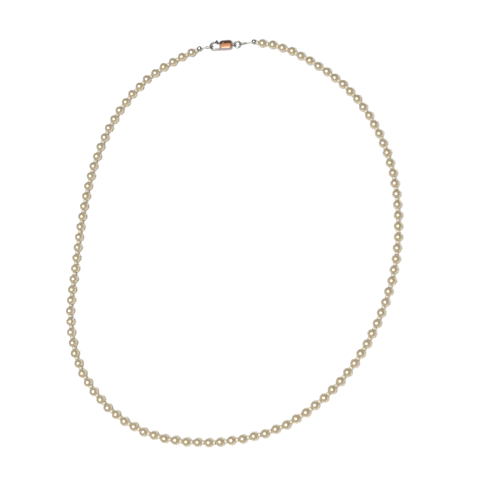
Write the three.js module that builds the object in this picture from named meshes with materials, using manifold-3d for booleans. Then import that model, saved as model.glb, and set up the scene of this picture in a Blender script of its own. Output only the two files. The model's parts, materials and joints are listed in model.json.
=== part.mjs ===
// A 20 inch pearl necklace lying in a loop, closed by a lobster clasp.
// Millimetres, +Z up. The strand lies on z = 0 with the clasp at +Y, and the origin is
// under the middle of the whole object.

import * as THREE from "three";
import { mergeVertices } from "three/addons/utils/BufferGeometryUtils.js";
import Module from "manifold-3d";

const wasm = await Module();
wasm.setup();

// ---- driving dimensions ----

// strand
const PEARL_RADIUS = 1.95;
const PITCH = 4.75; // from one pearl's centre to the next
const SPACER_RADIUS = 0.85; // the seed bead between two pearls
const LINK_GAP = 0.12; // from a link's first spacer to the pearl before it
const FRONT_GAP = 0.3; // the loop is opened here, at the front centre
const LINK_SIDES = 8;
const PEARLS_PER_LINK = 2;
const RIGHT_LINKS = 26;
const LEFT_LINKS = 25;

// lobster clasp, measured from the middle of its hook's eye, +X towards the base
const CLASP_PLACE = [-8.94, 89];
const HOOK_OUTER = 2.2;
const HOOK_INNER = 1.38;
const HOOK_THICK = 1.2;
const HOOK_TIP_ANGLE = 97;
const HOOK_ROOT_ANGLE = 300;
const BODY_FROM = 2.5;
const BODY_TO = 8.2;
const BODY_HALF_WIDTH = 2.25;
const BODY_THICK = 2.6;
const BODY_CORNER = 1.5;
const BODY_BEVEL = 0.45;
const SLOT_FROM = 1.8;
const SLOT_TO = 6.9;
const SLOT_FLOOR = -0.9;
const SLOT_WIDTH = 1.3;
const EYELET_X = 8.95;
const EYELET_OUTER = 1.05;
const EYELET_HOLE = 0.6;
const EYELET_THICK = 0.8;

// trigger
const PIVOT = [4.3, 0.7];
const PIN_RADIUS = 0.3;
const PIN_LENGTH = 2.5;
const PIN_CLEARANCE = 0.08;
const HUB_RADIUS = 0.75;
const LEVER_THICK = 0.9;
const GATE_ANGLE = 84;
const NUB_ANGLE = 65;
const NUB_RADIUS = 0.42;
const NUB_FROM = 1.6;
const NUB_TO = 2.95;
const SPRING_WIDTH = 0.7;

// jump ring, wire loops and crimps
const RING_RADIUS = 1.48; // to the middle of its wire
const RING_WIRE = 0.3;
const RING_X = 10.55;
const LOOP_WIRE = 0.18;
const RIGHT_LOOP_END = 0.65; // radius of the bend that holds the jump ring
const LEFT_LOOP_END = 1.0; // radius of the bend that holds the hook
const CRIMP_LENGTH = 1.9;
const CRIMP_RADIUS = 1.05;
const CRIMP_MOUTH = 0.8;
const CRIMP_BORE = 0.6;
const RIGHT_CRIMP_REACH = 7.8; // from the jump ring's centre
const LEFT_CRIMP_REACH = 6.83; // from the hook's eye
const RIGHT_LOOP_TURN = 2.7; // degrees that each loop leans off the clasp's own line
const LEFT_LOOP_TURN = 8.4;
const FIRST_HINGE = 0.75; // the first link turns inside its crimp, this far behind the middle

const CLASP_Z = BODY_THICK / 2;
const CRIMP_RISE = PEARL_RADIUS - CLASP_Z; // crimps sit on the strand's axis
const HOOK_BAR = (HOOK_OUTER + HOOK_INNER) / 2;

// The line the pearl centres follow, clockwise from the right crimp round to the left one.
const STRAND_ROUTE = [
  [21.9, 85.8],
  [37.8, 75.7],
  [51.7, 62.8],
  [61.7, 46.9],
  [68.6, 27],
  [70.8, 5],
  [68.9, -15.9],
  [62.9, -35.7],
  [52.5, -55.2],
  [37.7, -71.7],
  [19.8, -83.3],
  [0, -88.2],
  [-20, -88.4],
  [-38.1, -84],
  [-54.5, -73],
  [-67.2, -55.4],
  [-72, -34],
  [-70.6, -13],
  [-68.1, 12.1],
  [-63.6, 35.2],
  [-54.5, 57.3],
  [-39.7, 75.1],
  [-24, 84.4],
];

// ---- materials ----

const silver = { color: 0xc8c8c6, metalness: 1, roughness: 0.2 };
const finishes = {
  pearl: { color: 0xd8ccb6, metalness: 0, roughness: 0.25 },
  body: { color: 0xc9a184, metalness: 1, roughness: 0.18 },
  lever: { color: 0x8d8781, metalness: 1, roughness: 0.25 },
  spring: { color: 0x9a9a9a, metalness: 1, roughness: 0.3 },
  silver,
};

// ---- small tools ----

const radians = THREE.MathUtils.degToRad;

function polar(radius, degrees) {
  const angle = radians(degrees);
  return new THREE.Vector2(radius * Math.cos(angle), radius * Math.sin(angle));
}

function named(name, geometry, finish) {
  const mesh = new THREE.Mesh(geometry, new THREE.MeshStandardMaterial(finishes[finish]));
  mesh.name = name;
  return mesh;
}

function toSolid(geometry) {
  const bare = geometry.clone();
  bare.deleteAttribute("normal");
  bare.deleteAttribute("uv");
  const merged = mergeVertices(bare, 1e-5);
  const vertProperties = new Float32Array(merged.attributes.position.array);
  const triVerts = new Uint32Array(merged.index.array);
  return new wasm.Manifold(new wasm.Mesh({ numProp: 3, vertProperties, triVerts }));
}

function toGeometry(solid) {
  const mesh = solid.getMesh();
  const geometry = new THREE.BufferGeometry();
  geometry.setAttribute("position", new THREE.BufferAttribute(mesh.vertProperties, 3));
  geometry.setIndex(new THREE.BufferAttribute(mesh.triVerts, 1));
  return geometry;
}

// A flat outline given thickness about z = 0.
function plate(shape, thickness, curveSegments = 12, bevel = 0) {
  const geometry = new THREE.ExtrudeGeometry(shape, {
    depth: thickness - 2 * bevel,
    curveSegments,
    bevelEnabled: bevel > 0,
    bevelThickness: bevel,
    bevelSize: bevel,
    bevelOffset: -bevel,
    bevelSegments: 2,
  });
  return geometry.translate(0, 0, bevel - thickness / 2);
}

function disc(radius) {
  return new THREE.Shape().absarc(0, 0, radius, 0, 2 * Math.PI);
}

function rod(radius, length, sides = 12) {
  return new THREE.CylinderGeometry(radius, radius, length, sides);
}

// ---- strand ----

// Profile of a round bead from one drill hole to the other, as radius and distance along.
function beadArc(centre, steps, toPole) {
  const mouth = THREE.MathUtils.radToDeg(Math.asin(SPACER_RADIUS / PEARL_RADIUS));
  const last = 180 - mouth;
  const arc = [];
  for (let step = 0; step <= steps; step += 1) {
    const point = polar(PEARL_RADIUS, mouth + ((last - mouth) * step) / steps);
    arc.push(new THREE.Vector2(point.y, centre - point.x));
  }
  if (toPole) {
    arc.push(new THREE.Vector2(0, centre + PEARL_RADIUS));
  }
  return arc;
}

// A link is spacer, pearl, spacer, pearl on one length of thread. Its origin is the centre
// of the pearl before it, about which it turns, and it runs along +Y.
function linkGeometry(endsInSpacer) {
  const start = PEARL_RADIUS + LINK_GAP;
  const profile = [new THREE.Vector2(0, start), new THREE.Vector2(SPACER_RADIUS, start)];
  for (let pearl = 1; pearl <= PEARLS_PER_LINK; pearl += 1) {
    const closes = pearl === PEARLS_PER_LINK && !endsInSpacer;
    profile.push(...beadArc(pearl * PITCH, 4, closes));
  }
  if (endsInSpacer) {
    const end = (PEARLS_PER_LINK + 1) * PITCH - PEARL_RADIUS - FRONT_GAP;
    profile.push(new THREE.Vector2(SPACER_RADIUS, end), new THREE.Vector2(0, end));
  }
  // the facets touch the true radius, so that one of them lies flat on the table
  const outward = 1 / Math.cos(Math.PI / LINK_SIDES);
  profile.forEach((point) => point.setX(point.x * outward));
  return new THREE.LatheGeometry(profile, LINK_SIDES, Math.PI / LINK_SIDES);
}

function addArm(group, side, route, count) {
  const length = route.getLength();
  const linkLength = PEARLS_PER_LINK * PITCH;
  for (let index = 0; index < count; index += 1) {
    const from = route.getPointAt((index * linkLength) / length);
    const to = route.getPointAt(((index + 1) * linkLength) / length);
    const endsInSpacer = side === "left" && index === count - 1;
    const number = String(index + 1).padStart(2, "0");
    const link = named(`${side}_link_${number}`, linkGeometry(endsInSpacer), "pearl");
    link.position.copy(from);
    link.rotation.z = Math.atan2(to.y - from.y, to.x - from.x) - Math.PI / 2;
    group.add(link);
  }
}

function buildStrand(rightHinge, leftHinge) {
  const points = STRAND_ROUTE.map(([x, y]) => new THREE.Vector3(x, y, PEARL_RADIUS));
  const clockwise = new THREE.CatmullRomCurve3([rightHinge, ...points, leftHinge]);
  const backwards = new THREE.CatmullRomCurve3([leftHinge, ...points.reverse(), rightHinge]);
  clockwise.arcLengthDivisions = 4000;
  backwards.arcLengthDivisions = 4000;
  const strand = new THREE.Group();
  addArm(strand, "right", clockwise, RIGHT_LINKS);
  addArm(strand, "left", backwards, LEFT_LINKS);
  return strand;
}

// ---- clasp ----

// A length of ring between two angles, as a flat outline.
function ringArc(shape, outer, inner, from, to, steps) {
  for (let step = 0; step <= steps; step += 1) {
    shape.push(polar(outer, from + ((to - from) * step) / steps));
  }
  for (let step = steps; step >= 0; step -= 1) {
    shape.push(polar(inner, from + ((to - from) * step) / steps));
  }
  return shape;
}

function hookSolid() {
  const outline = ringArc([], HOOK_OUTER, HOOK_INNER, HOOK_TIP_ANGLE, HOOK_ROOT_ANGLE, 16);
  return toSolid(plate(new THREE.Shape(outline), HOOK_THICK));
}

// The neck widens from the hook's root into the front of the body.
function neckSolid() {
  const outer = polar(HOOK_OUTER, HOOK_ROOT_ANGLE - 12);
  const inner = polar(HOOK_INNER, HOOK_ROOT_ANGLE - 8);
  const neck = new THREE.Shape([
    outer,
    new THREE.Vector2(BODY_FROM + 0.7, -1.95),
    new THREE.Vector2(BODY_FROM + 0.7, -1.0),
    inner,
  ]);
  return toSolid(plate(neck, HOOK_THICK));
}

function barrelSolid() {
  const r = BODY_CORNER;
  const barrel = new THREE.Shape();
  barrel.moveTo(BODY_FROM + r, -BODY_HALF_WIDTH);
  barrel.lineTo(BODY_TO - r, -BODY_HALF_WIDTH);
  barrel.absarc(BODY_TO - r, r - BODY_HALF_WIDTH, r, -Math.PI / 2, 0);
  barrel.absarc(BODY_TO - r, BODY_HALF_WIDTH - r, r, 0, Math.PI / 2);
  barrel.absarc(BODY_FROM + r, BODY_HALF_WIDTH - r, r, Math.PI / 2, Math.PI);
  barrel.absarc(BODY_FROM + r, r - BODY_HALF_WIDTH, r, Math.PI, 1.5 * Math.PI);
  return toSolid(plate(barrel, BODY_THICK, 4, BODY_BEVEL));
}

// The base eyelet stands on edge, so that the jump ring can lie flat through it.
function eyeletSolid() {
  const ring = disc(EYELET_OUTER);
  ring.holes.push(disc(EYELET_HOLE));
  const eyelet = plate(ring, EYELET_THICK).rotateX(Math.PI / 2);
  return toSolid(eyelet.translate(EYELET_X, 0, 0));
}

function stubSolid() {
  const from = BODY_TO - 0.5;
  const to = EYELET_X - EYELET_HOLE - 0.15;
  const stub = new THREE.BoxGeometry(to - from, EYELET_THICK, HOOK_THICK);
  return toSolid(stub.translate((from + to) / 2, 0, 0));
}

function slotSolid() {
  const height = BODY_HALF_WIDTH + 1 - SLOT_FLOOR;
  const slot = new THREE.BoxGeometry(SLOT_TO - SLOT_FROM, height, SLOT_WIDTH);
  return toSolid(slot.translate((SLOT_FROM + SLOT_TO) / 2, SLOT_FLOOR + height / 2, 0));
}

function pinHole(radius) {
  const hole = rod(radius, BODY_THICK + 1).rotateX(Math.PI / 2);
  return toSolid(hole.translate(PIVOT[0], PIVOT[1], 0));
}

function claspBody() {
  const solid = barrelSolid()
    .add(stubSolid())
    .add(eyeletSolid())
    .subtract(slotSolid())
    .subtract(pinHole(PIN_RADIUS + PIN_CLEARANCE))
    .add(neckSolid())
    .add(hookSolid());
  return named("clasp_body", toGeometry(solid), "body");
}

function triggerPin() {
  const pin = named("trigger_pin", rod(PIN_RADIUS, PIN_LENGTH).rotateX(Math.PI / 2), "silver");
  pin.position.set(PIVOT[0], PIVOT[1], 0);
  return pin;
}

// The gate closes the eye, the nub takes the thumb and the tail meets the spring.
function triggerLever() {
  const [px, py] = PIVOT;
  const outline = [
    polar(HOOK_OUTER, GATE_ANGLE),
    polar(HOOK_INNER, GATE_ANGLE),
    polar(HOOK_INNER, 52),
    new THREE.Vector2(px - 0.6, py - HUB_RADIUS + 0.3),
    new THREE.Vector2(px + 1.3, py - 0.3),
    new THREE.Vector2(px + 1.3, py + 0.3),
    new THREE.Vector2(px, py + HUB_RADIUS),
    polar(HOOK_OUTER, 58),
    polar(HOOK_OUTER, 71),
  ];
  const arm = toSolid(plate(new THREE.Shape(outline), LEVER_THICK));
  const hub = toSolid(plate(disc(HUB_RADIUS), LEVER_THICK, 8).translate(px, py, 0));
  const nubMiddle = polar((NUB_FROM + NUB_TO) / 2, NUB_ANGLE);
  const nub = rod(NUB_RADIUS, NUB_TO - NUB_FROM, 10).rotateZ(radians(NUB_ANGLE - 90));
  const solid = arm
    .add(hub)
    .add(toSolid(nub.translate(nubMiddle.x, nubMiddle.y, 0)))
    .subtract(pinHole(PIN_RADIUS + PIN_CLEARANCE));
  const lever = named("trigger_lever", toGeometry(solid).translate(-px, -py, 0), "lever");
  lever.position.set(px, py, 0);
  return lever;
}

// A leaf bent off the slot's end wall, which presses the lever's tail down.
function triggerSpring() {
  const thick = 0.2;
  const leaf = new THREE.Shape([
    new THREE.Vector2(5.1, 1.16),
    new THREE.Vector2(5.9, 1.32),
    new THREE.Vector2(6.75, 1.8),
    new THREE.Vector2(6.75, 1.8 + thick * 1.2),
    new THREE.Vector2(5.8, 1.32 + thick),
    new THREE.Vector2(5.1, 1.16 + thick),
  ]);
  return named("trigger_spring", plate(leaf, SPRING_WIDTH), "spring");
}

function jumpRing() {
  const ring = named("jump_ring", new THREE.TorusGeometry(RING_RADIUS, RING_WIRE, 8, 24), "silver");
  ring.position.set(RING_X, 0, 0);
  return ring;
}

// ---- wire loops and crimps, each laid out along +X from the bend to the crimp ----

// A hairpin of wire on edge: round its bend, and back into the crimp's bore.
function wireLoop(name, bendAt, bendRadius, crimpAt) {
  const tail = crimpAt - CRIMP_LENGTH / 2 + 0.3;
  const side = LOOP_WIRE + 0.05;
  const waist = (bendAt + tail) / 2;
  const shoulder = bendAt + bendRadius * 0.9;
  const path = new THREE.CatmullRomCurve3([
    new THREE.Vector3(tail, 0, CRIMP_RISE + side),
    new THREE.Vector3(waist, 0, CRIMP_RISE / 2 + bendRadius * 0.7),
    new THREE.Vector3(shoulder, 0, bendRadius * 1.02),
    new THREE.Vector3(bendAt, 0, bendRadius),
    new THREE.Vector3(bendAt - bendRadius * 0.71, 0, bendRadius * 0.71),
    new THREE.Vector3(bendAt - bendRadius, 0, 0),
    new THREE.Vector3(bendAt - bendRadius * 0.71, 0, -bendRadius * 0.71),
    new THREE.Vector3(bendAt, 0, -bendRadius),
    new THREE.Vector3(shoulder, 0, -bendRadius * 0.94),
    new THREE.Vector3(waist, 0, CRIMP_RISE / 2 - bendRadius * 0.55),
    new THREE.Vector3(tail, 0, CRIMP_RISE - side),
  ]);
  const corners = [0, 1, 2, 3, 4, 5].map((corner) => polar(LOOP_WIRE, corner * 60));
  const section = new THREE.Shape(corners);
  const wire = new THREE.ExtrudeGeometry(section, {
    steps: 36,
    extrudePath: path,
    bevelEnabled: false,
  });
  return named(name, wire, "silver");
}

// A crushed tube with rounded shoulders, turned about its bore.
function crimp(name, at) {
  const half = CRIMP_LENGTH / 2;
  const shoulder = half * 0.62;
  const profile = [
    new THREE.Vector2(CRIMP_BORE, -half),
    new THREE.Vector2(CRIMP_MOUTH, -half),
    new THREE.Vector2(CRIMP_RADIUS, -shoulder),
    new THREE.Vector2(CRIMP_RADIUS, shoulder),
    new THREE.Vector2(CRIMP_MOUTH, half),
    new THREE.Vector2(CRIMP_BORE, half),
    new THREE.Vector2(CRIMP_BORE, -half),
  ];
  const tube = new THREE.LatheGeometry(profile, 12).rotateZ(-Math.PI / 2);
  const mesh = named(name, tube, "silver");
  mesh.position.set(at, 0, CRIMP_RISE);
  return mesh;
}

function loopWithCrimp(side, bendAt, bendRadius, crimpAt) {
  const group = new THREE.Group();
  group.add(wireLoop(`${side}_wire_loop`, bendAt, bendRadius, crimpAt));
  group.add(crimp(`${side}_crimp`, crimpAt));
  return group;
}

// Where the first link turns, inside its crimp.
function strandHinge(loopGroup, crimpAt) {
  return loopGroup.localToWorld(new THREE.Vector3(crimpAt - FIRST_HINGE, 0, CRIMP_RISE));
}

// ---- assembly ----

const clasp = new THREE.Group();
clasp.position.set(CLASP_PLACE[0], CLASP_PLACE[1], CLASP_Z);
clasp.add(claspBody(), triggerPin(), triggerLever(), triggerSpring(), jumpRing());

const rightLoop = loopWithCrimp("right", RING_RADIUS, RIGHT_LOOP_END, RIGHT_CRIMP_REACH);
rightLoop.position.set(RING_X, 0, 0);
rightLoop.rotation.z = radians(RIGHT_LOOP_TURN);

const leftLoop = loopWithCrimp("left", HOOK_BAR, LEFT_LOOP_END, LEFT_CRIMP_REACH);
leftLoop.rotation.z = Math.PI + radians(LEFT_LOOP_TURN);

clasp.add(rightLoop, leftLoop);
clasp.updateMatrixWorld(true);
const rightHinge = strandHinge(rightLoop, RIGHT_CRIMP_REACH);
const leftHinge = strandHinge(leftLoop, LEFT_CRIMP_REACH);

const necklace = new THREE.Group();
necklace.add(clasp, buildStrand(rightHinge, leftHinge));

// centre the whole object over the origin, standing on z = 0
necklace.updateMatrixWorld(true);
const box = new THREE.Box3().setFromObject(necklace, true);
const middle = box.getCenter(new THREE.Vector3());
necklace.position.set(-middle.x, -middle.y, -box.min.z);

export default necklace;
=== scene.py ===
"""Looks for the pearl necklace: drilled pearls, seed beads, thread, wire loops, crimps and clasp."""

import json
import math
import random

import bmesh
import bpy
from mathutils import Matrix, Vector, noise


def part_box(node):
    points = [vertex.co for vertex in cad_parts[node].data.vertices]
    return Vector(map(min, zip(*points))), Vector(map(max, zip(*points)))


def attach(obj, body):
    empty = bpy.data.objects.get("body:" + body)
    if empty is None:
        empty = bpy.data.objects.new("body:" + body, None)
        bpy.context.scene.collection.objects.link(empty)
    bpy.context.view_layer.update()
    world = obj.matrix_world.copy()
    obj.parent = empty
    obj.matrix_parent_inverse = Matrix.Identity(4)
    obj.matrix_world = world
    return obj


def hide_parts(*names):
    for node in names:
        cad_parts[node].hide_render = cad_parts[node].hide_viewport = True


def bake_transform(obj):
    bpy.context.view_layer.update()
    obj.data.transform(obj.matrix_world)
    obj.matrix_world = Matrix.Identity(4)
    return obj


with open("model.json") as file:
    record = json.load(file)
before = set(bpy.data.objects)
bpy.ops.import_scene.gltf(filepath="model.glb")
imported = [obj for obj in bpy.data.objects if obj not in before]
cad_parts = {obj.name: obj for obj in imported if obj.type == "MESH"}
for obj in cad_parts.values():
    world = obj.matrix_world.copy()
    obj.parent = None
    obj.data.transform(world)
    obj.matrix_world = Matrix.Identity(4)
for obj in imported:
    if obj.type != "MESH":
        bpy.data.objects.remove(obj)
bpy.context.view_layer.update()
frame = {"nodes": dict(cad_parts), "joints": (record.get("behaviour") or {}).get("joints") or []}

# ---- millimetres and degrees. The main sizes repeat the solids' ----

PEARL_RADIUS = 1.95
PITCH = 4.75
SMALLEST_PEARL = 0.982
SPACER_RADIUS = 0.85
SMALLEST_SPACER = 0.94
DRILL_RADIUS = 0.34
CUP_GAP = 0.04
SPACER_LIP = 0.16
HOLE_EASE = 0.05
THREAD_RADIUS = 0.14
THREAD_STEP = 0.12
THREAD_CLEARANCE = 0.02
THREAD_END_GAP = 0.35
PLIES = 3
PLY_DEPTH = 0.12
PLY_TWIST = 5

HOOK_OUTER = 2.2
HOOK_INNER = 1.38
HOOK_TIP_ANGLE = 97
HOOK_TIP_BLUNT = 0.35
HOOK_TIP_GROWTH = 5.0
HOOK_ROOT_ANGLE = 300
HOOK_ROOT_SHORT = 8
HOOK_ROOT_OVERLAP = 0.9
HOOK_ROOT_LIFT = 0.05
HOOK_ROOT_SWELL = 0.12
HOOK_WIRE = 0.40
BODY_FROM = 2.5
BODY_TO = 8.2
BODY_HALF_WIDTH = 2.25
BODY_HALF_THICK = 1.3
SLOT_FROM = 1.8
SLOT_TO = 6.9
SLOT_FLOOR = -0.9
SLOT_TOP = 3.4
SLOT_HALF_WIDTH = 0.65
EYELET_X = 8.95
EYELET_RADIUS = 0.825
EYELET_WIRE = 0.215
EYELET_HALF_WIDTH = 0.38
STUB_HALF = (0.65, 0.55, 0.6)
STUB_OFFSET = 0.1
PIVOT = Vector((4.3, 0.7, 0))
PIN_RADIUS = 0.34
PIN_PLAY = 0.03
HOLE_REACH = 2
HUB_RADIUS = 0.72
LEVER_HALF_THICK = 0.43
GATE_ANGLE = 84
NUB_ANGLE = 65
NUB_TO = 2.95
LEAF_HALF_THICK = 0.09
LEAF_WIDTH_RATIO = 3.6
COPPER_HALF_WIDTH = 2.0
COPPER_START = 2.5
COPPER_FULL_FROM = 2.9
COPPER_FULL_TO = 7.7
COPPER_END = 8.0

RING_RADIUS = 1.48
RING_WIRE = 0.3
RING_WIRE_SEEN = RING_WIRE * 0.97
RING_CUT_ANGLE = -62
RING_CUT_WIDTH = 2.2
LOOP_WIRE = 0.18
COIL_PITCH = 0.12
COIL_STEPS = 6
COIL_SHARE = 0.5
COIL_DEPTH = 0.24
CORD_RADIUS = 0.11
CORD_SPACING = 0.05
CORD_EASE = 0.4
CORD_INSIDE_CRIMP = 0.3
BEND_STEPS = 24
RIGHT_LOOP_END = 0.65
LEFT_LOOP_END = 1.0
CRIMP_HALF = 0.95
CRIMP_RADIUS = 1.05
CRIMP_BORE = 0.58
CRIMP_MOUTH = 0.62
CRIMP_EDGE = 0.03
SEAM_ANGLE = 75
SEAM_HALF_ANGLE = 6
SEAM_BELOW = 0.05
SEAM_SHARE = 0.93
CRIMP_RISE = PEARL_RADIUS - BODY_HALF_THICK
HOOK_BAR = (HOOK_OUTER + HOOK_INNER) / 2

# ---- camera, light and surface, in degrees, metres and watts ----

CAMERA_TILT = 18
CAMERA_HEADING = -57
CAMERA_DISTANCE = 0.4844
CAMERA_TARGET_X = 0.0037
CAMERA_TARGET_Y = -0.0034
CAMERA_LENS = 84.4
CAMERA_CLIP = 0.01
KEY_PLACE = (-0.045, -0.175, 0.900)
KEY_SIZE = 0.58
KEY_POWER = 11.4
WORLD_COLOR = (0.95, 0.97, 1.0, 1)
WORLD_STRENGTH = 0.06
FLOOR_HALF = 3.0
SCRATCH_DEPTH = 0.000004

MM = 0.001
joints = {j["name"]: j for j in frame["joints"]}
draws = random.Random(20)


# ---- camera ----


def camera():
    """From above, leaning towards the viewer's lower right."""
    tilt = math.radians(CAMERA_TILT)
    heading = math.radians(CAMERA_HEADING)
    target = Vector((CAMERA_TARGET_X, CAMERA_TARGET_Y, PEARL_RADIUS * MM))
    level = math.sin(tilt)
    back = Vector((level * math.cos(heading), level * math.sin(heading), math.cos(tilt)))
    right = Vector((0, 1, 0)).cross(back).normalized()
    up = back.cross(right)
    data = bpy.data.cameras.new("camera")
    data.lens = CAMERA_LENS
    data.clip_start = CAMERA_CLIP
    obj = bpy.data.objects.new("camera", data)
    bpy.context.scene.collection.objects.link(obj)
    turn = Matrix((right, up, back)).transposed().to_4x4()
    obj.matrix_world = Matrix.Translation(target + back * CAMERA_DISTANCE) @ turn
    bpy.context.scene.camera = obj


# ---- node helpers ----


class Nodes:
    """A material under construction: adds nodes and links them in short calls."""

    def __init__(self, name):
        self.material = bpy.data.materials.new(name)
        self.material.use_nodes = True
        self.tree = self.material.node_tree
        self.shader = self.tree.nodes["Principled BSDF"]
        self.place = self.add("ShaderNodeTexCoord").outputs["Object"]

    def add(self, kind, **settings):
        node = self.tree.nodes.new(kind)
        for key, value in settings.items():
            setattr(node, key, value)
        return node

    def link(self, start, end):
        self.tree.links.new(start, end)

    def noise(self, scale, detail=2.0, roughness=0.5, at=None):
        node = self.add("ShaderNodeTexNoise")
        node.inputs["Scale"].default_value = scale
        node.inputs["Detail"].default_value = detail
        node.inputs["Roughness"].default_value = roughness
        self.link(at or self.place, node.inputs["Vector"])
        return node.outputs["Fac"]

    def ramp(self, factor, stops):
        node = self.add("ShaderNodeValToRGB")
        elements = node.color_ramp.elements
        while len(elements) < len(stops):
            elements.new(0.5)
        for element, (position, color) in zip(elements, stops):
            element.position = position
            element.color = (*color, 1)
        self.link(factor, node.inputs["Fac"])
        return node.outputs["Color"]

    def mix(self, factor, a, b):
        node = self.add("ShaderNodeMix", data_type="RGBA")
        for socket, value in ((node.inputs[0], factor), (node.inputs[6], a), (node.inputs[7], b)):
            if hasattr(value, "links"):
                self.link(value, socket)
            elif isinstance(value, float):
                socket.default_value = value
            else:
                socket.default_value = (*value, 1)
        return node.outputs[2]

    def calc(self, operation, *values):
        node = self.add("ShaderNodeMath", operation=operation)
        for socket, value in zip(node.inputs, values):
            self.link(value, socket)
        return node.outputs[0]

    def span(self, factor, low, high, start=0.0, end=1.0):
        node = self.add("ShaderNodeMapRange")
        node.inputs["From Min"].default_value = start
        node.inputs["From Max"].default_value = end
        node.inputs["To Min"].default_value = low
        node.inputs["To Max"].default_value = high
        self.link(factor, node.inputs["Value"])
        return node.outputs["Result"]

    def bump(self, height, distance, strength=1.0):
        node = self.add("ShaderNodeBump")
        node.inputs["Distance"].default_value = distance
        node.inputs["Strength"].default_value = strength
        self.link(height, node.inputs["Height"])
        self.link(node.outputs["Normal"], self.shader.inputs["Normal"])

    def set(self, **values):
        for name, value in values.items():
            self.shader.inputs[name.replace("_", " ")].default_value = value

    def color(self, socket):
        self.link(socket, self.shader.inputs["Base Color"])

    def rough(self, socket):
        self.link(socket, self.shader.inputs["Roughness"])


# ---- materials ----


def nacre():
    """Cream nacre: the body colour drifts from pearl to pearl, with growth mottling under a clear lustre."""
    n = Nodes("nacre")
    body = n.ramp(
        n.noise(150, 1.0),
        [
            (0.30, (0.50, 0.465, 0.315)),
            (0.42, (0.53, 0.47, 0.34)),
            (0.58, (0.545, 0.465, 0.35)),
            (0.70, (0.525, 0.485, 0.375)),
        ],
    )
    mottle = n.noise(1400, 4.0, 0.6)
    n.color(n.mix(n.span(mottle, 0.0, 0.5, 0.35, 0.7), body, (0.68, 0.62, 0.48)))
    n.rough(n.span(n.noise(2600, 3.0), 0.36, 0.44, 0.3, 0.7))
    n.bump(n.noise(5200, 2.0), 0.000012, 0.5)
    n.set(Metallic=0.42, IOR=1.4, Coat_Weight=0.95, Coat_Roughness=0.3, Coat_IOR=1.8)
    n.set(Coat_Tint=(1.0, 0.95, 0.86, 1))
    return n.material


def seed_glass():
    """Lustred ivory glass of the seed beads, each one a little warmer or cooler."""
    n = Nodes("seed_glass")
    drift = n.noise(210, 1.0)
    body = n.ramp(
        drift,
        [(0.3, (0.55, 0.51, 0.36)), (0.5, (0.61, 0.55, 0.41)), (0.7, (0.64, 0.55, 0.42))],
    )
    n.color(n.mix(n.span(n.noise(3000, 2.0), 0.0, 0.3), body, (0.72, 0.66, 0.52)))
    n.rough(n.span(n.noise(4000, 2.0), 0.30, 0.44))
    n.bump(n.noise(2500, 2.0), 0.00001, 0.6)
    n.set(IOR=1.5, Coat_Weight=0.15, Coat_Roughness=0.2)
    return n.material


def beading_thread():
    n = Nodes("beading_thread")
    n.color(n.mix(n.noise(6000, 2.0), (0.62, 0.57, 0.44), (0.80, 0.76, 0.64)))
    n.rough(n.span(n.noise(9000, 2.0), 0.45, 0.7))
    n.set(IOR=1.5, Sheen_Weight=0.2)
    return n.material


def polished(name, light, dark, low, high):
    """Polished plate with faint tarnish in patches and fine handling marks."""
    n = Nodes(name)
    tarnish = n.noise(900, 4.0, 0.6)
    n.color(n.mix(n.span(tarnish, 0.0, 1.0, 0.35, 0.75), light, dark))
    n.rough(n.span(n.noise(1800, 3.0, 0.6), low, high, 0.3, 0.7))
    stretch = n.add("ShaderNodeMapping")
    stretch.inputs["Scale"].default_value = (1, 9, 3)
    n.link(n.place, stretch.inputs["Vector"])
    n.bump(n.noise(4000, 3.0, at=stretch.outputs["Vector"]), SCRATCH_DEPTH, 0.4)
    n.set(Metallic=1.0)
    return n


def silver():
    return polished("silver", (0.46, 0.47, 0.43), (0.32, 0.33, 0.30), 0.34, 0.46).material


def gunmetal():
    return polished("gunmetal", (0.20, 0.19, 0.19), (0.10, 0.10, 0.10), 0.2, 0.34).material


def spring_steel():
    return polished("spring_steel", (0.50, 0.50, 0.50), (0.36, 0.36, 0.37), 0.25, 0.4).material


def gimp_wire():
    """Fine coiled guard wire, oxidised olive grey with darker runs."""
    return polished("gimp_wire", (0.52, 0.51, 0.43), (0.20, 0.20, 0.17), 0.28, 0.42).material


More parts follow.
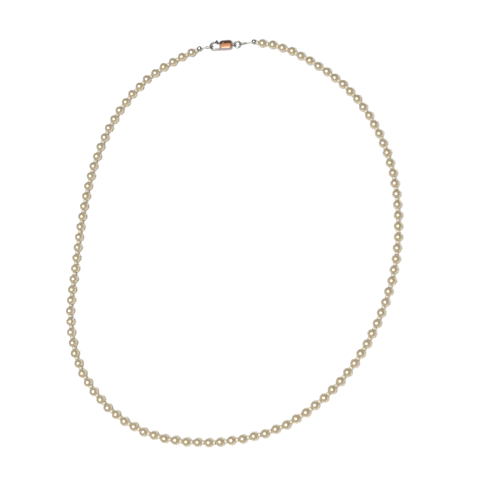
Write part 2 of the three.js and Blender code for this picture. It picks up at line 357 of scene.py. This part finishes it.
def clasp_metal(eye):
    """Silver casting whose domed face is coloured copper, partly its own tone and partly a painted warm
    reflection, with a painted dark reflection band towards the trigger's side and painted pale highlights
    along both long edges.
    """
    n = polished("clasp_metal", (0.48, 0.44, 0.43), (0.32, 0.29, 0.29), 0.34, 0.44)
    place = n.add("ShaderNodeSeparateXYZ")
    n.link(n.place, place.inputs["Vector"])
    reach = COPPER_HALF_WIDTH * MM
    across = n.span(place.outputs["Y"], 0.0, 1.0, eye.y - reach, eye.y + reach)
    cloud = n.span(n.noise(600, 3.0), -0.06, 0.06)
    # painted reflections across the face: pale highlights at both long edges, a dark brown reflection band
    # towards the trigger's side, and copper between that is partly a painted warm reflection
    copper_and_painted_reflections = n.ramp(
        n.calc("ADD", across, cloud),
        [
            (0.04, (0.52, 0.42, 0.35)),
            (0.18, (0.66, 0.33, 0.17)),
            (0.52, (0.58, 0.24, 0.11)),
            (0.65, (0.09, 0.04, 0.022)),
            (0.84, (0.085, 0.045, 0.028)),
            (0.96, (0.54, 0.41, 0.32)),
        ],
    )
    facing = n.add("ShaderNodeSeparateXYZ")
    n.link(n.add("ShaderNodeNewGeometry").outputs["Normal"], facing.inputs["Vector"])
    mask = n.span(n.calc("ABSOLUTE", facing.outputs["Z"]), 0.0, 1.0, 0.70, 0.88)
    along = place.outputs["X"]
    start = n.span(along, 0.0, 1.0, eye.x + COPPER_START * MM, eye.x + COPPER_FULL_FROM * MM)
    end = n.span(along, 1.0, 0.0, eye.x + COPPER_FULL_TO * MM, eye.x + COPPER_END * MM)
    mask = n.calc("MULTIPLY", n.calc("MULTIPLY", mask, start), end)
    plain = n.shader.inputs["Base Color"].links[0].from_socket
    n.color(n.mix(mask, plain, copper_and_painted_reflections))
    n.link(n.span(mask, 1.0, 0.55), n.shader.inputs["Metallic"])
    n.rough(n.span(mask, 0.38, 0.56))
    return n.material


# ---- mesh helpers, all in millimetres until a piece is placed ----


def revolve(profile, sides):
    """A closed profile of (radius, along) turned about +Z, as (vertices, faces)."""
    count = len(profile)
    verts = []
    for side in range(sides):
        angle = 2 * math.pi * side / sides
        for radius, along in profile:
            verts.append(Vector((radius * math.cos(angle), radius * math.sin(angle), along)))
    faces = []
    for side in range(sides):
        a = side * count
        b = ((side + 1) % sides) * count
        for i in range(count):
            j = (i + 1) % count
            faces.append((a + i, b + i, b + j, a + j))
    return verts, faces


def revolve_open(profile, sides):
    """A profile that starts and ends on the axis, turned about +Z."""
    inner = profile[1:-1]
    count = len(inner)
    verts = []
    for side in range(sides):
        angle = 2 * math.pi * side / sides
        for radius, along in inner:
            verts.append(Vector((radius * math.cos(angle), radius * math.sin(angle), along)))
    first = len(verts)
    verts.append(Vector((0, 0, profile[0][1])))
    verts.append(Vector((0, 0, profile[-1][1])))
    faces = []
    for side in range(sides):
        a = side * count
        b = ((side + 1) % sides) * count
        for i in range(count - 1):
            faces.append((a + i, b + i, b + i + 1, a + i + 1))
        faces.append((a, b, first))
        faces.append((b + count - 1, a + count - 1, first + 1))
    return verts, faces


def bands(rings, sides):
    """Quads between neighbouring rings that have so many points each."""
    faces = []
    for i in range(rings - 1):
        for k in range(sides):
            m = (k + 1) % sides
            faces.append((i * sides + k, i * sides + m, (i + 1) * sides + m, (i + 1) * sides + k))
    return faces


def sweep(path, normal, radii, sides, squash=1.0):
    """A tube along a path that lies in a plane with that normal. radii holds one radius a step."""
    verts = []
    normal = Vector(normal)
    for i, point in enumerate(path):
        ahead = path[min(i + 1, len(path) - 1)] - path[max(i - 1, 0)]
        side = normal.cross(ahead).normalized()
        for k in range(sides):
            angle = 2 * math.pi * k / sides
            offset = side * math.cos(angle) + normal * (squash * math.sin(angle))
            verts.append(point + offset * radii[i])
    faces = bands(len(path), sides)
    last = (len(path) - 1) * sides
    faces.append(tuple(range(sides))[::-1])
    faces.append(tuple(range(last, last + sides)))
    return verts, faces


def to_mesh(name, verts, faces):
    mesh = bpy.data.meshes.new(name)
    mesh.from_pydata([tuple(v) for v in verts], [], faces)
    edit = bmesh.new()
    edit.from_mesh(mesh)
    bmesh.ops.recalc_face_normals(edit, faces=edit.faces)
    edit.to_mesh(mesh)
    edit.free()
    mesh.shade_smooth()
    return mesh


def add_piece(name, mesh, material, to_row, body, replaces=()):
    """Places a millimetre mesh in the row frame, attaches it to its body and hides the CAD nodes that it
    replaces.

    A piece that takes no body here is left unattached.
    """
    mesh.transform(to_row)
    mesh.materials.clear()
    mesh.materials.append(material)
    obj = bpy.data.objects.new(name, mesh)
    bpy.context.scene.collection.objects.link(obj)
    if body:
        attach(obj, body)
    if replaces:
        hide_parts(*replaces)
    return obj


def axes_at(origin, along):
    """Millimetres to the row frame: +Z along that direction, +X level, origin in metres."""
    z = Vector(along).normalized()
    x = Vector((0, 0, 1)).cross(z).normalized()
    y = z.cross(x)
    turn = Matrix((x, y, z)).transposed().to_4x4()
    return Matrix.Translation(origin) @ turn @ Matrix.Scale(MM, 4)


def level_at(origin, along):
    """Millimetres to the row frame: +X along that level direction, +Z up, origin in metres."""
    x = Vector((along[0], along[1], 0)).normalized()
    z = Vector((0, 0, 1))
    turn = Matrix((x, z.cross(x), z)).transposed().to_4x4()
    return Matrix.Translation(origin) @ turn @ Matrix.Scale(MM, 4)


def fused(name, parts, cuts, voxel, smoothing):
    """Joins overlapping meshes, cuts others away and remeshes the result into one cast surface."""
    objects = []
    for index, (verts, faces) in enumerate(parts + cuts):
        mesh = to_mesh(f"{name}_{index}", verts, faces)
        obj = bpy.data.objects.new(f"{name}_{index}", mesh)
        bpy.context.scene.collection.objects.link(obj)
        objects.append(obj)
    base = objects[0]
    for index, other in enumerate(objects[1:], start=1):
        step = base.modifiers.new(f"step_{index}", "BOOLEAN")
        step.operation = "UNION" if index < len(parts) else "DIFFERENCE"
        step.solver = "EXACT"
        step.object = other
    remesh = base.modifiers.new("remesh", "REMESH")
    remesh.mode = "VOXEL"
    remesh.voxel_size = voxel
    bpy.context.view_layer.update()
    made = base.evaluated_get(bpy.context.evaluated_depsgraph_get())
    mesh = bpy.data.meshes.new_from_object(made)
    mesh.name = name
    edit = bmesh.new()
    edit.from_mesh(mesh)
    for _ in range(smoothing):
        bmesh.ops.smooth_vert(
            edit, verts=edit.verts, factor=0.5, use_axis_x=True, use_axis_y=True, use_axis_z=True
        )
    bmesh.ops.recalc_face_normals(edit, faces=edit.faces)
    edit.to_mesh(mesh)
    edit.free()
    mesh.shade_smooth()
    for obj in objects:
        bpy.data.objects.remove(obj)
    return mesh


def polar(radius, degrees, z=0.0):
    angle = math.radians(degrees)
    return Vector((radius * math.cos(angle), radius * math.sin(angle), z))


# ---- strand ----


def pearl_profile(radius):
    """Outer arc from one drill mouth to the other, with the mouth's edge eased, and the bore."""
    steps = 22
    mouth = math.asin(DRILL_RADIUS / radius)
    arc = []
    for step in range(steps + 1):
        angle = mouth + (math.pi - 2 * mouth) * step / steps
        arc.append((radius * math.sin(angle), -radius * math.cos(angle)))
    bore = DRILL_RADIUS - HOLE_EASE
    top = arc[-1][1] - HOLE_EASE
    return arc + [(bore, top), (bore, -top)]


def pearl_mesh(name, seed):
    """A round bead with the slight unevenness of grown nacre."""
    radius = PEARL_RADIUS * draws.uniform(SMALLEST_PEARL, 1.0)
    verts, faces = revolve(pearl_profile(radius), 36)
    shift = Vector((seed * 3.7, seed * 1.3, 0))
    for v in verts:
        broad = noise.noise(v * 0.8 + shift) * 0.014
        fine = noise.noise(v * 2.1 + shift) * 0.004
        v *= 1 - abs(broad + fine)
    return to_mesh(name, verts, faces)


def seed_bead_mesh(name):
    """A barrel bead with an open hole. Its ends are cupped, a hair clear of the pearls on both sides."""
    radius = SPACER_RADIUS * draws.uniform(SMALLEST_SPACER, 1.0)
    cup = PEARL_RADIUS + CUP_GAP
    hole = DRILL_RADIUS
    eased = hole + HOLE_EASE
    rim = radius - SPACER_LIP
    lip_steps = 5
    lip_turn = 75
    bulge = 1.015

    def end_at(r):
        return PITCH / 2 - math.sqrt(cup * cup - r * r)

    edge = end_at(rim)
    half = [(hole, end_at(hole) - HOLE_EASE), (eased, end_at(eased))]
    for share in (0.4, 0.7):
        r = hole + (rim - hole) * share
        half.append((r, end_at(r)))
    for step in range(lip_steps + 1):
        angle = math.radians(90 - lip_turn * step / lip_steps)
        along = edge - SPACER_LIP + SPACER_LIP * math.sin(angle)
        half.append((rim + SPACER_LIP * math.cos(angle), along))
    half.append((radius * bulge, edge * 0.3))
    profile = half + [(r, -along) for r, along in half[::-1]]
    verts, faces = revolve(profile, 24)
    return to_mesh(name, verts, faces)


def thread_mesh(name, start, end):
    """Three twisted plies."""
    steps = max(4, int((end - start) / THREAD_STEP))
    sides = 12
    verts = []
    for i in range(steps + 1):
        along = start + (end - start) * i / steps
        for k in range(sides):
            angle = 2 * math.pi * k / sides
            ply = math.cos(PLIES * angle - along * PLY_TWIST)
            radius = THREAD_RADIUS * (1 - PLY_DEPTH + PLY_DEPTH * ply)
            verts.append(Vector((radius * math.cos(angle), radius * math.sin(angle), along)))
    faces = bands(steps + 1, sides)
    faces.append(tuple(range(sides))[::-1])
    faces.append(tuple(range(steps * sides, (steps + 1) * sides)))
    return to_mesh(name, verts, faces)


def link_axes(node):
    """A link's hinge and the way it runs, from its joint and the middle of its solid."""
    hinge = next(j for j in frame["joints"] if j["child"] == node)
    start = Vector(hinge["pos_m"])
    verts = frame["nodes"][node].data.vertices
    middle = sum((v.co for v in verts), Vector()) / len(verts)
    along = middle - start
    along.z = 0
    return start, along.normalized()


def build_link(side, number, count, nacre_material, glass_material, thread_material):
    """Two pearls with their seed beads and thread. The left side's last link has one bead more."""
    node = f"{side}_link_{number:02d}"
    start, along = link_axes(node)
    to_row = axes_at(start, along)
    first = (number - 1) * 2
    last = number == count and side == "left"
    for k in (0, 1):
        at = Matrix.Translation((0, 0, (k + 1) * PITCH))
        name = f"{side}_pearl_{first + k + 1:02d}"
        pearl = pearl_mesh(name, draws.uniform(0, 9))
        add_piece(name, pearl, nacre_material, to_row @ at, node, (node,))
    for k in range(3 if last else 2):
        at = Matrix.Translation((0, 0, (k + 0.5) * PITCH))
        name = f"{side}_spacer_{first + k + 1:02d}"
        bead = seed_bead_mesh(name)
        add_piece(name, bead, glass_material, to_row @ at, node)
    thread_end = 3 * PITCH - PEARL_RADIUS - THREAD_END_GAP if last else 2 * PITCH
    name = f"{side}_thread_{number:02d}"
    thread = thread_mesh(name, PEARL_RADIUS + THREAD_CLEARANCE, thread_end)
    add_piece(name, thread, thread_material, to_row, node)


def build_strand():
    nacre_material = nacre()
    glass_material = seed_glass()
    thread_material = beading_thread()
    for side in ("right", "left"):
        count = sum(name.startswith(f"{side}_link_") for name in frame["nodes"])
        for number in range(1, count + 1):
            build_link(side, number, count, nacre_material, glass_material, thread_material)


# ---- clasp ----


def superellipsoid(centre, half, flat, tall, rings=24, sides=48):
    """A rounded block: flat squares its outline seen from above, tall squares its section."""

    def power(value, exponent):
        return math.copysign(abs(value) ** exponent, value)

    verts = []
    for i in range(1, rings):
        up = -math.pi / 2 + math.pi * i / rings
        for k in range(sides):
            turn = 2 * math.pi * k / sides
            level = power(math.cos(up), tall)
            x = centre[0] + half[0] * level * power(math.cos(turn), flat)
            y = centre[1] + half[1] * level * power(math.sin(turn), flat)
            z = centre[2] + half[2] * power(math.sin(up), tall)
            verts.append(Vector((x, y, z)))
    bottom = len(verts)
    verts.append(Vector((centre[0], centre[1], centre[2] - half[2])))
    verts.append(Vector((centre[0], centre[1], centre[2] + half[2])))
    faces = bands(rings - 1, sides)
    top = (rings - 2) * sides
    for k in range(sides):
        m = (k + 1) % sides
        faces.append((m, k, bottom))
        faces.append((top + k, top + m, bottom + 1))
    return verts, faces


def block(low, high):
    xs, ys, zs = zip(low, high)
    verts = [Vector((x, y, z)) for z in zs for y in ys for x in xs]
    faces = [(0, 2, 3, 1), (4, 5, 7, 6), (0, 1, 5, 4), (2, 6, 7, 3), (0, 4, 6, 2), (1, 3, 7, 5)]
    return verts, faces


def rod(centre, radius, low, high):
    """An upright cylinder."""
    sides = 24
    verts = []
    for z in (low, high):
        for k in range(sides):
            turn = 2 * math.pi * k / sides
            x = centre[0] + radius * math.cos(turn)
            y = centre[1] + radius * math.sin(turn)
            verts.append(Vector((x, y, z)))
    faces = [(k, (k + 1) % sides, sides + (k + 1) % sides, sides + k) for k in range(sides)]
    faces.append(tuple(range(sides))[::-1])
    faces.append(tuple(range(sides, 2 * sides)))
    return verts, faces


def hook_tube():
    """The hook tapers to a rounded tip, and its root runs on into the body."""
    path = []
    radii = []
    steps = 44
    swept = HOOK_ROOT_ANGLE - HOOK_ROOT_SHORT - HOOK_TIP_ANGLE
    for i in range(steps + 1):
        share = i / steps
        path.append(polar(HOOK_BAR, HOOK_TIP_ANGLE + swept * share))
        tip = min(1.0, HOOK_TIP_BLUNT + HOOK_TIP_GROWTH * share)
        radii.append(HOOK_WIRE * math.sqrt(1 - (1 - tip) ** 2))
    root = path[-1]
    for share in (0.25, 0.5, 0.75, 1.0):
        x = root.x + (BODY_FROM + HOOK_ROOT_OVERLAP - root.x) * share
        path.append(Vector((x, root.y + HOOK_ROOT_LIFT * share, 0)))
        radii.append(HOOK_WIRE + HOOK_ROOT_SWELL * share)
    return sweep(path, (0, 0, 1), radii, 20, squash=1.3)


def eyelet_ring():
    """An upright ring of oval wire at the clasp's base."""
    steps = 40
    sides = 14
    centre = Vector((EYELET_X, 0, 0))
    verts = []
    for i in range(steps):
        angle = 2 * math.pi * i / steps
        x = EYELET_X + EYELET_RADIUS * math.cos(angle)
        point = Vector((x, 0, EYELET_RADIUS * math.sin(angle)))
        out = (point - centre).normalized()
        for k in range(sides):
            turn = 2 * math.pi * k / sides
            across = Vector((0, EYELET_HALF_WIDTH * math.sin(turn), 0))
            verts.append(point + out * (EYELET_WIRE * math.cos(turn)) + across)
    faces = []
    for i in range(steps):
        j = (i + 1) % steps
        for k in range(sides):
            m = (k + 1) % sides
            faces.append((i * sides + k, i * sides + m, j * sides + m, j * sides + k))
    return verts, faces


def pin_hole():
    return rod(PIVOT, PIN_RADIUS + PIN_PLAY, -HOLE_REACH, HOLE_REACH)


def clasp_body(eye, material):
    """Hook, barrel, neck and eyelet in one casting, with a slot for the trigger."""
    middle = (BODY_FROM + BODY_TO) / 2
    half = ((BODY_TO - BODY_FROM) / 2, BODY_HALF_WIDTH, BODY_HALF_THICK)
    barrel = superellipsoid((middle, 0, 0), half, flat=0.40, tall=0.52)
    neck_at = (BODY_TO + STUB_OFFSET, 0, 0)
    neck = superellipsoid(neck_at, STUB_HALF, flat=0.8, tall=0.8, rings=12, sides=24)
    slot = block((SLOT_FROM, SLOT_FLOOR, -SLOT_HALF_WIDTH), (SLOT_TO, SLOT_TOP, SLOT_HALF_WIDTH))
    parts = [barrel, hook_tube(), neck, eyelet_ring()]
    mesh = fused("clasp_body_cast", parts, [slot, pin_hole()], voxel=0.06, smoothing=4)
    add_piece("clasp_casting", mesh, material, eye, "clasp", ("clasp_body",))


def trigger(eye, material):
    """Gate, arm, hub and tail in one lever, with a thumb nub."""
    gate = [polar(HOOK_BAR, angle) for angle in (GATE_ANGLE, 79, 73, 67, 61)]
    arm = [Vector((1.7, 1.32, 0)), Vector((2.6, 1.2, 0)), Vector((3.5, 1.0, 0)), PIVOT]
    tail = [Vector((5.0, 0.7, 0)), Vector((5.55, 0.7, 0))]
    radii = [0.30, 0.4, 0.42, 0.42, 0.42, 0.42, 0.43, 0.46, 0.5, 0.34, 0.26]
    lever = sweep(gate + arm + tail, (0, 0, 1), radii, 16)
    hub = rod(PIVOT, HUB_RADIUS, -LEVER_HALF_THICK, LEVER_HALF_THICK)
    nub_path = [polar(radius, NUB_ANGLE) for radius in (1.5, 2.1, 2.5, 2.8, NUB_TO)]
    nub = sweep(nub_path, (0, 0, 1), [0.36, 0.34, 0.4, 0.38, 0.2], 16)
    mesh = fused("trigger_cast", [lever, hub, nub], [pin_hole()], voxel=0.045, smoothing=3)
    add_piece("trigger", mesh, material, eye, "trigger", ("trigger_lever",))


def rivet(eye, material):
    """The pin's ends are domed over in the body's faces."""
    profile = [(0.0, -1.27), (0.16, -1.26), (0.27, -1.22), (PIN_RADIUS, -1.14)]
    profile += [(r, -z) for r, z in profile[::-1]]
    verts, faces = revolve_open(profile, 28)
    mesh = to_mesh("pin", verts, faces)
    at = Matrix.Translation(PIVOT)
    add_piece("trigger_rivet", mesh, material, eye @ at, "clasp", ("trigger_pin",))


def leaf_spring(eye, material):
    """A flat strip from the slot's end wall that bears on the lever's tail."""
    spots = ((5.1, 1.26), (5.5, 1.31), (5.9, 1.42), (6.3, 1.62), (6.72, 1.9))
    path = [Vector((x, y, 0)) for x, y in spots]
    radii = [LEAF_HALF_THICK] * len(path)
    verts, faces = sweep(path, (0, 0, 1), radii, 12, squash=LEAF_WIDTH_RATIO)
    mesh = to_mesh("leaf", verts, faces)
    leaf = add_piece("trigger_leaf", mesh, material, eye, None, ("trigger_spring",))
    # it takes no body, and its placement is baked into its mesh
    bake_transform(leaf)


def jump_ring(ring, material):
    """Round wire bent into a ring, its two cut ends almost meeting."""
    steps = 72
    path = []
    for i in range(steps + 1):
        turned = RING_CUT_WIDTH / 2 + (360 - RING_CUT_WIDTH) * i / steps
        path.append(polar(RING_RADIUS, RING_CUT_ANGLE + turned))
    verts, faces = sweep(path, (0, 0, 1), [RING_WIRE_SEEN] * len(path), 18)
    mesh = to_mesh("ring", verts, faces)
    at = level_at(ring, (1, 0, 0))
    add_piece("open_jump_ring", mesh, material, at, "jump_ring", ("jump_ring",))


# ---- wire loops and crimps, +X from the bend to the crimp ----


def bezier(a, b, c, d, steps):
    points = []
    for i in range(1, steps + 1):
        t = i / steps
        u = 1 - t
        points.append(a * u**3 + b * (3 * u * u * t) + c * (3 * u * t * t) + d * t**3)
    return points


def hairpin(bend_at, bend, tail):
    """From the crimp over the top, round the bend and back under to the crimp."""
    side = LOOP_WIRE + CORD_SPACING
    top = Vector((bend_at, 0, bend))
    low = Vector((bend_at, 0, -bend))
    end_top = Vector((tail, 0, CRIMP_RISE + side))
    end_low = Vector((tail, 0, CRIMP_RISE - side))
    out = Vector(((tail - bend_at) * CORD_EASE, 0, 0))
    route = [end_top]
    route += bezier(end_top, end_top - out, top + out, top, BEND_STEPS)
    for i in range(1, BEND_STEPS):
        angle = math.radians(90 + 180 * i / BEND_STEPS)
        route.append(Vector((bend_at + bend * math.cos(angle), 0, bend * math.sin(angle))))
    route.append(low)
    route += bezier(low, low + out, end_low - out, end_low, BEND_STEPS)
    return route


def resample(points, step):
    """The same route as points a step apart."""
    lengths = [0.0]
    for a, b in zip(points, points[1:]):
        lengths.append(lengths[-1] + (b - a).length)
    count = int(lengths[-1] / step)
    even = []
    at = 0
    for i in range(count + 1):
        want = lengths[-1] * i / count
        while lengths[at + 1] < want and at < len(points) - 2:
            at += 1
        share = (want - lengths[at]) / max(1e-9, lengths[at + 1] - lengths[at])
        even.append(points[at].lerp(points[at + 1], share))
    return even


def wire_loop(side, origin, crimp_centre, bend_at, bend, coil_material, cord_material):
    """A coiled guard wire round the bend, and the two bare cords that run from it into the crimp."""
    along = crimp_centre - origin
    reach = Vector((along.x, along.y)).length / MM
    tail = reach - CRIMP_HALF + CORD_INSIDE_CRIMP
    at = level_at(origin, along)
    body = f"{side}_loop"
    path = resample(hairpin(bend_at, bend, tail), COIL_PITCH / COIL_STEPS)
    covered = bend_at + (tail - bend_at) * COIL_SHARE
    first = next(i for i, point in enumerate(path) if point.x < covered)
    last = len(path) - 1 - first
    wires = []
    for i in range(last + 1 - first):
        ridge = 0.5 + 0.5 * math.cos(2 * math.pi * i / COIL_STEPS)
        wires.append(LOOP_WIRE * (1 - COIL_DEPTH + COIL_DEPTH * ridge))
    verts, faces = sweep(path[first : last + 1], (0, -1, 0), wires, 10)
    name = f"{side}_guard_coil"
    coil = to_mesh(name, verts, faces)
    add_piece(name, coil, coil_material, at, body, (f"{side}_wire_loop",))
    lap = 2 * COIL_STEPS
    for label, stretch in (("upper", path[: first + lap]), ("lower", path[last - lap + 1 :])):
        spots = stretch[::COIL_STEPS] + [stretch[-1]]
        verts, faces = sweep(spots, (0, -1, 0), [CORD_RADIUS] * len(spots), 10)
        name = f"{side}_{label}_cord"
        add_piece(name, to_mesh(name, verts, faces), cord_material, at, body)


def crimp_cover(side, centre, along, material):
    """A rounded silver cover closed over the crimp, with its seam along one side."""
    steps = 14
    mouth = math.asin(CRIMP_MOUTH / CRIMP_RADIUS)
    stretch = CRIMP_HALF / (CRIMP_RADIUS * math.cos(mouth))
    profile = []
    for step in range(steps + 1):
        angle = mouth + (math.pi - 2 * mouth) * step / steps
        profile.append((CRIMP_RADIUS * math.sin(angle), -CRIMP_RADIUS * math.cos(angle) * stretch))
    inside = CRIMP_HALF - CRIMP_EDGE
    profile += [(CRIMP_BORE, inside), (CRIMP_BORE, -inside)]
    verts, faces = revolve(profile, 48)
    for v in verts:
        turn = math.degrees(math.atan2(v.y, v.x))
        in_seam = abs(turn - SEAM_ANGLE) < SEAM_HALF_ANGLE
        if in_seam and math.hypot(v.x, v.y) > CRIMP_BORE + SEAM_BELOW:
            v.x *= SEAM_SHARE
            v.y *= SEAM_SHARE
    name = f"{side}_crimp_cover"
    mesh = to_mesh(name, verts, faces)
    at = axes_at(centre, along)
    add_piece(name, mesh, material, at, f"{side}_loop", (f"{side}_crimp",))


def middle_of(node):
    low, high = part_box(node)
    return (low + high) / 2


def build_findings():
    body_low, body_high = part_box("clasp_body")
    pivot = Vector(joints["trigger_press"]["pos_m"])
    eye_place = Vector((pivot.x - PIVOT.x * MM, pivot.y - PIVOT.y * MM, (body_low.z + body_high.z) / 2))
    eye = level_at(eye_place, (1, 0, 0))
    bright = silver()
    gimp = gimp_wire()
    thread_material = bpy.data.materials["beading_thread"]
    clasp_body(eye, clasp_metal(eye_place))
    trigger(eye, gunmetal())
    rivet(eye, bright)
    leaf_spring(eye, spring_steel())
    ring_place = Vector(joints["right_loop_slide"]["pos_m"])
    jump_ring(ring_place, bright)
    ends = (
        ("right", ring_place, RING_RADIUS, RIGHT_LOOP_END),
        ("left", eye_place, HOOK_BAR, LEFT_LOOP_END),
    )
    for side, origin, bend_at, bend in ends:
        centre = middle_of(f"{side}_crimp")
        wire_loop(side, origin, centre, bend_at, bend, gimp, thread_material)
        along = Vector((centre.x - origin.x, centre.y - origin.y, 0))
        crimp_cover(side, centre, along, bright)


# ---- studio ----


def paper_floor():
    """The plain pale sheet that the necklace lies on."""
    plane = bpy.data.meshes.new("floor")
    half = FLOOR_HALF
    corners = [(-half, -half, 0), (half, -half, 0), (half, half, 0), (-half, half, 0)]
    plane.from_pydata(corners, [], [(0, 1, 2, 3)])
    floor = bpy.data.objects.new("floor", plane)
    bpy.context.scene.collection.objects.link(floor)
    n = Nodes("floor_paper")
    n.color(n.mix(n.noise(30, 2.0), (0.88, 0.88, 0.88), (0.90, 0.90, 0.90)))
    n.set(Roughness=0.9, Specular_IOR_Level=0.1)
    plane.materials.append(n.material)


def key_light():
    """One wide soft disk, high above and a little in front, aimed at the middle."""
    data = bpy.data.lights.new("key", "AREA")
    data.shape = "DISK"
    data.size = KEY_SIZE
    data.energy = KEY_POWER
    obj = bpy.data.objects.new("key", data)
    obj.location = KEY_PLACE
    obj.rotation_euler = Vector(KEY_PLACE).to_track_quat("Z", "Y").to_euler()
    bpy.context.scene.collection.objects.link(obj)


def dim_world():
    world = bpy.data.worlds.new("studio")
    world.use_nodes = True
    background = world.node_tree.nodes["Background"]
    background.inputs["Color"].default_value = WORLD_COLOR
    background.inputs["Strength"].default_value = WORLD_STRENGTH
    bpy.context.scene.world = world


def studio():
    paper_floor()
    key_light()
    dim_world()
    bpy.context.scene.view_settings.view_transform = "Standard"


camera()
build_strand()
build_findings()
studio()
